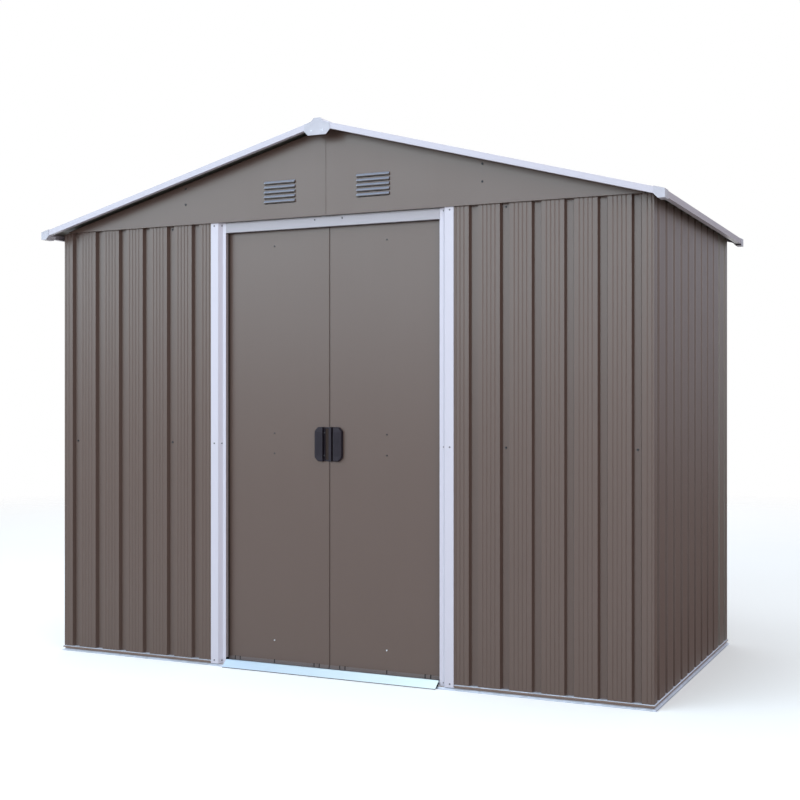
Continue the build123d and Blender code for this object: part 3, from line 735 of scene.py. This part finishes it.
def screwGroup(name, body, finish, size, spots, alongSheet=False):
    bm = bmesh.new()
    placed = 0
    for spot, outward in spots:
        outward = Vector(outward).normalized()
        hit = findSheet(Vector(spot), outward)
        if hit is None:
            print("no sheet under", name, tuple(round(value, 3) for value in spot))
            continue
        addScrew(bm, hit[1], hit[2] if alongSheet else outward, size)
        placed += 1
    finishPiece(bm, name, body, finish)
    return placed


bpy.context.view_layer.update()
frontWay, backWay, leftWay, rightWay, upWay = (0, -1, 0), (0, 1, 0), (-1, 0, 0), (1, 0, 0), (0, 0, 1)
# pairs are how far from the middle and how high, unless said otherwise
screws = {
    "wallX": 1.166,
    "wallY": 0.604,
    "front": ((1.1235, 0.830), (0.6741, 0.830), (0.6741, 1.639)),
    "backAcross": (1.1235, 0.6741, 0.2247),
    "sideAlong": (-0.4494, 0, 0.4494),
    "wallHeights": (0.830, 1.639),
    "gable": ((0.598, 1.726), (0.598, 1.786)),
    "gableY": 0.628,
    "jamb": ((0.4757, -0.621), (0.4490, -0.607)),  # how far from the middle and how far back
    "jambHeights": (0.020, 0.829, 1.640),
    "header": (-0.0558, 0.0558),
    "headerY": -0.608,
    "headerHeight": 1.639,
    "ridge": (-0.022, 0.022),
    "ridgeY": 0.695,
    "ridgeHeight": 1.940,
    "roofAlong": (-0.5056, -0.2809, -0.0562, 0.0562, 0.2809, 0.5056),
    "roofAcross": (0.598, 1.10),
    "roofTop": 1.978,
    "roofSlope": 15,  # degrees
    "cap": (0.038, 1.972),
    "doorAcross": {"Left": -0.238, "Right": 0.220},
    "doorY": -0.582,
    "doorDark": (1.556, 0.868, 0.794),
    # the lowest screws, given the pale finish as a painted highlight
    "doorBright": (0.107,),
}
wallSpots = [((side * across, -screws["wallY"], height), frontWay)
             for across, height in screws["front"] for side in (-1, 1)]
for height in screws["wallHeights"]:
    for across in screws["backAcross"]:
        for side in (-1, 1):
            wallSpots.append(((side * across, screws["wallY"], height), backWay))
    for along in screws["sideAlong"]:
        wallSpots.append(((-screws["wallX"], along, height), leftWay))
        wallSpots.append(((screws["wallX"], along, height), rightWay))
screwTotal = screwGroup("wallScrews", "shed", "darkScrew", screwSize, wallSpots)

gableSpots = []
for across, height in screws["gable"]:
    for side in (-1, 1):
        gableSpots.append(((side * across, -screws["gableY"], height), frontWay))
        gableSpots.append(((side * across, screws["gableY"], height), backWay))
screwTotal += screwGroup("gableScrews", "shed", "darkScrew", screwSize, gableSpots)

trimSpots = [((side * across, back, height), frontWay)
             for side in (-1, 1) for height in screws["jambHeights"] for across, back in screws["jamb"]]
screwTotal += screwGroup("trimScrews", "shed", "trimScrew", smallScrew, trimSpots)

headerSpots = [((across, screws["headerY"], screws["headerHeight"]), frontWay) for across in screws["header"]]
screwTotal += screwGroup("headerScrews", "shed", "darkScrew", smallScrew, headerSpots)

ridgeSpots = [((across, -screws["ridgeY"], screws["ridgeHeight"]), frontWay) for across in screws["ridge"]]
ridgeSpots += [((across, screws["ridgeY"], screws["ridgeHeight"]), backWay) for across in screws["ridge"]]
screwTotal += screwGroup("ridgeScrews", "shed", "brightScrew", smallScrew, ridgeSpots)

roofSpots = []
for along in screws["roofAlong"]:
    for side in (-1, 1):
        for across in screws["roofAcross"]:
            fall = math.tan(math.radians(screws["roofSlope"])) * across
            roofSpots.append(((side * across, along, screws["roofTop"] - fall), upWay))
        roofSpots.append(((side * screws["cap"][0], along, screws["cap"][1]), upWay))
screwTotal += screwGroup("roofScrews", "shed", "darkScrew", screwSize, roofSpots, True)

for side, body in ((-1, "left_door"), (1, "right_door")):
    sideName = sideNames[side]
    # the lowest door screws take the pale finish as a painted highlight, the higher ones the dark finish
    for heightName, finish in (("doorDark", "darkScrew"), ("doorBright", "brightScrew")):
        spots = [((screws["doorAcross"][sideName], screws["doorY"], height), frontWay)
                 for height in screws[heightName]]
        screwTotal += screwGroup(heightName + "Screws" + sideName, body, finish, smallScrew, spots)
    bm = bmesh.new()
    for end in (-1, 1):
        spot = Vector((handle["seam"] + side * handle["screwAcross"], handle["doorFace"] - handle["wall"],
                       handle["middle"] + end * handle["screwUp"]))
        addScrew(bm, spot, Vector(frontWay), smallScrew)
        screwTotal += 1
    finishPiece(bm, "handleScrews" + sideName, body, "trimScrew")
print("screws made:", screwTotal)


def lightPathMix(tree, seen, unseen, output):
    path = addNode(tree, "ShaderNodeLightPath")
    shown = addMath(tree, "MAXIMUM", path.outputs["Is Camera Ray"], path.outputs["Is Glossy Ray"])
    shown = addMath(tree, "MAXIMUM", shown, path.outputs["Is Transmission Ray"])
    mix = addNode(tree, "ShaderNodeMixShader")
    tree.links.new(shown, mix.inputs[0])
    tree.links.new(unseen, mix.inputs[1])
    tree.links.new(seen, mix.inputs[2])
    tree.links.new(mix.outputs[0], output)


studio = {
    "backdropTint": (1.0, 1.0, 1.0),
    "skyTint": (0.84, 0.92, 1.0),
    "groundTint": (0.60, 0.52, 0.47),
    "horizon": (-0.4, 0.6),  # the ground's tint turns into the sky's between these slopes
    "ambient": 0.55,
    "floorSize": 24.0,
    "floorSides": 64,
    "floorSink": 0.0005,
    "floorTint": (0.88, 0.88, 0.88),
    "floorBounce": (0.50, 0.46, 0.41),  # what the floor gives back to the shed
    "floorLift": 0.28,
    "fadeFrom": 4.0,  # the floor melts into the white backdrop between these distances
    "fadeTo": 9.0,
}
world.use_nodes = True
worldTree = world.node_tree
worldTree.nodes.clear()
worldOut = addNode(worldTree, "ShaderNodeOutputWorld")
backdrop = addNode(worldTree, "ShaderNodeBackground", {"Color": (*studio["backdropTint"], 1), "Strength": 1})
ambient = addNode(worldTree, "ShaderNodeBackground", {"Strength": studio["ambient"]})
upward = objectSplit(worldTree, "Generated")["Z"]
rise = rangeOf(worldTree, upward, 0, 1, *studio["horizon"])
aroundTint = mixTints(worldTree, rise, studio["groundTint"], studio["skyTint"])
worldTree.links.new(aroundTint, ambient.inputs["Color"])
lightPathMix(worldTree, backdrop.outputs[0], ambient.outputs[0], worldOut.inputs["Surface"])

bm = bmesh.new()
bmesh.ops.create_circle(bm, cap_ends=True, segments=studio["floorSides"], radius=studio["floorSize"] / 2)
bmesh.ops.translate(bm, verts=bm.verts, vec=(0, 0, -studio["floorSink"]))
floorMesh = bpy.data.meshes.new("floor")
bm.to_mesh(floorMesh)
bm.free()
floor = bpy.data.objects.new("floor", floorMesh)
scene.collection.objects.link(floor)
floorMaterial = bpy.data.materials.new("paleFloor")
floorMaterial.use_nodes = True
floorTree = floorMaterial.node_tree
floorTree.nodes.clear()
floorOut = addNode(floorTree, "ShaderNodeOutputMaterial")
floorPaint = addNode(floorTree, "ShaderNodeBsdfDiffuse", {"Color": (*studio["floorTint"], 1)})
floorGlow = addNode(floorTree, "ShaderNodeEmission", {"Strength": studio["floorLift"]})
floorSeen = addNode(floorTree, "ShaderNodeAddShader")
floorTree.links.new(floorPaint.outputs[0], floorSeen.inputs[0])
floorTree.links.new(floorGlow.outputs[0], floorSeen.inputs[1])
floorUnseen = addNode(floorTree, "ShaderNodeBsdfDiffuse", {"Color": (*studio["floorBounce"], 1)})
floorNear = addNode(floorTree, "ShaderNodeMixShader")
lightPathMix(floorTree, floorSeen.outputs[0], floorUnseen.outputs[0], floorNear.inputs[1])
clear = addNode(floorTree, "ShaderNodeBsdfTransparent")
floorTree.links.new(clear.outputs[0], floorNear.inputs[2])
floorPlace = addNode(floorTree, "ShaderNodeTexCoord")
floorReach = addNode(floorTree, "ShaderNodeVectorMath", operation="LENGTH")
floorTree.links.new(floorPlace.outputs["Object"], floorReach.inputs[0])
fade = rangeOf(floorTree, floorReach.outputs["Value"], 0, 1, studio["fadeFrom"], studio["fadeTo"])
floorTree.links.new(fade, floorNear.inputs[0])
floorTree.links.new(floorNear.outputs[0], floorOut.inputs["Surface"])
floorMesh.materials.append(floorMaterial)

lamps = {
    "frontLeft": {"place": (-2.8, -7.6, 3.2), "aim": (0, -0.6, 1.5), "size": (12.0, 3.2), "power": 580.0,
                  "tint": (0.74, 0.91, 1.0)},
    "frontAbove": {"place": (-0.6, -3.5, 5.3), "aim": (0, -0.6, 1.7), "size": (3.0, 1.6), "power": 45.0,
                   "tint": (0.66, 0.85, 1.0)},
    "frontRight": {"place": (5.0, -5.0, 2.6), "aim": (1.0, 0, 0.9), "size": (3.0, 3.0), "power": 85.0,
                   "tint": (1.0, 0.92, 0.94)},
    "overhead": {"place": (-0.6, -0.6, 6.0), "aim": (0, -0.2, 0), "size": (3.2, 3.2), "power": 95.0,
                 "tint": (0.82, 0.92, 1.0)},
    "behind": {"place": (-2.5, 7.5, 4.2), "aim": (0, 0, 1.2), "size": (6.0, 4.0), "power": 110.0,
               "tint": (0.96, 0.97, 1.0)},
}
for name, lamp in lamps.items():
    data = bpy.data.lights.new(name, "AREA")
    data.shape = "RECTANGLE"
    data.size, data.size_y = lamp["size"]
    data.energy = lamp["power"]
    data.color = lamp["tint"]
    lampObject = bpy.data.objects.new(name, data)
    lampObject.location = lamp["place"]
    away = Vector(lamp["place"]) - Vector(lamp["aim"])
    lampObject.rotation_euler = away.to_track_quat("Z", "Y").to_euler()
    lampObject.visible_camera = False
    scene.collection.objects.link(lampObject)

# a graded card behind the right-hand wall, dark at its foot, which that wall mirrors in place of the backdrop
card = {
    "low": (0.9, 3.6, 0.0),
    "high": (4.2, 3.62, 3.4),
    "round": 0.005,
    "footLow": (1.22, -1.2, 0.001),
    "footHigh": (3.2, 3.58, 0.003),
    "footRound": 0.0005,
    "footTint": (0.26, 0.20, 0.19),
    "headTint": (0.80, 0.86, 1.0),
    "fade": (0.3, 2.2),  # heights between which the foot's tint turns into the head's
    "glow": 1.2,
}
bm = bmesh.new()
addBar(bm, card["low"], card["high"], card["round"])
addBar(bm, card["footLow"], card["footHigh"], card["footRound"])
cardMesh = bpy.data.meshes.new("gradedCard")
bm.to_mesh(cardMesh)
bm.free()
cardObject = bpy.data.objects.new("gradedCard", cardMesh)
scene.collection.objects.link(cardObject)
cardMaterial = bpy.data.materials.new("cardPaper")
cardMaterial.use_nodes = True
cardTree = cardMaterial.node_tree
cardTree.nodes.clear()
cardGlow = addNode(cardTree, "ShaderNodeEmission", {"Strength": card["glow"]})
cardRise = rangeOf(cardTree, objectSplit(cardTree, "Object")["Z"], 0, 1, *card["fade"])
cardTree.links.new(mixTints(cardTree, cardRise, card["footTint"], card["headTint"]), cardGlow.inputs["Color"])
cardOut = addNode(cardTree, "ShaderNodeOutputMaterial")
cardTree.links.new(cardGlow.outputs[0], cardOut.inputs["Surface"])
cardMesh.materials.append(cardMaterial)
cardObject.visible_camera = False
cardObject.visible_shadow = False
cardObject.visible_diffuse = False
print("studio lit")
